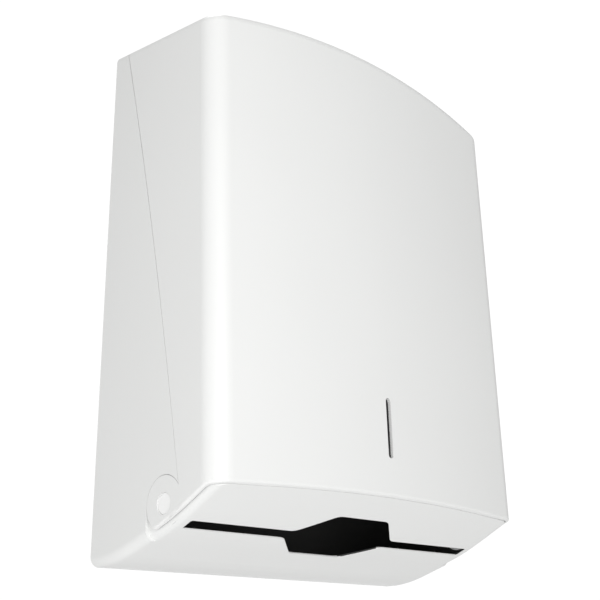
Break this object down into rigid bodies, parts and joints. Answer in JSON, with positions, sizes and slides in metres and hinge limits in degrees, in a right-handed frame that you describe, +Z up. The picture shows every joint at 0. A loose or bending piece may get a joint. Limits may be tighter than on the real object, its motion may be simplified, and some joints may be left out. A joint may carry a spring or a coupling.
{
  "type": "folded paper towel dispenser",
  "caption": "Wall-mounted plastic dispenser for folded paper towels, with a tip-down front cover, a cam lock in its top and an outlet slot with a hexagonal middle in its sloping floor.",
  "frame": {"origin": "centre of the wall screw pattern, on the wall face", "axes": "+Z up, +Y into the wall, +X to the right for someone facing the wall"},
  "size_m": [0.275, 0.1283, 0.3715],
  "materials": {
    "housing_plastic": "fine satin moulding, slightly cool white",
    "cover_plastic": "smooth satin-gloss moulding, white",
    "pin_plastic": "natural white nylon",
    "adapter_plastic": "satin white moulding",
    "plated_zinc": "nickel-plated die casting",
    "zinc_steel": "zinc-plated steel"
  },
  "bodies": {
    "housing": {"rear_housing": "housing_plastic", "hinge_pin_right": "pin_plastic", "hinge_pin_left": "pin_plastic", "lock_keeper": "zinc_steel", "keeper_screws": "zinc_steel", "towel_adapter_right": "adapter_plastic", "towel_adapter_left": "adapter_plastic"},
    "cover": {"front_cover": "cover_plastic", "lock_barrel": "plated_zinc", "lock_toothed_washer": "zinc_steel", "lock_nut": "plated_zinc"},
    "lock_rotor": {"lock_plug": "plated_zinc", "lock_stop_washer": "zinc_steel", "lock_cam": "zinc_steel", "lock_cam_screw": "zinc_steel"}
  },
  "joints": [
    {"name": "cover_hinge", "type": "hinge", "parent": "housing", "child": "cover", "pos_m": [0, -0.0735, -0.1585], "axis": [1, 0, 0], "range_deg": [0, 122]},
    {"name": "lock_turn", "type": "hinge", "parent": "cover", "child": "lock_rotor", "pos_m": [0, -0.048, 0.1733], "axis": [0, 0, 1], "range_deg": [0, 90]}
  ]
}
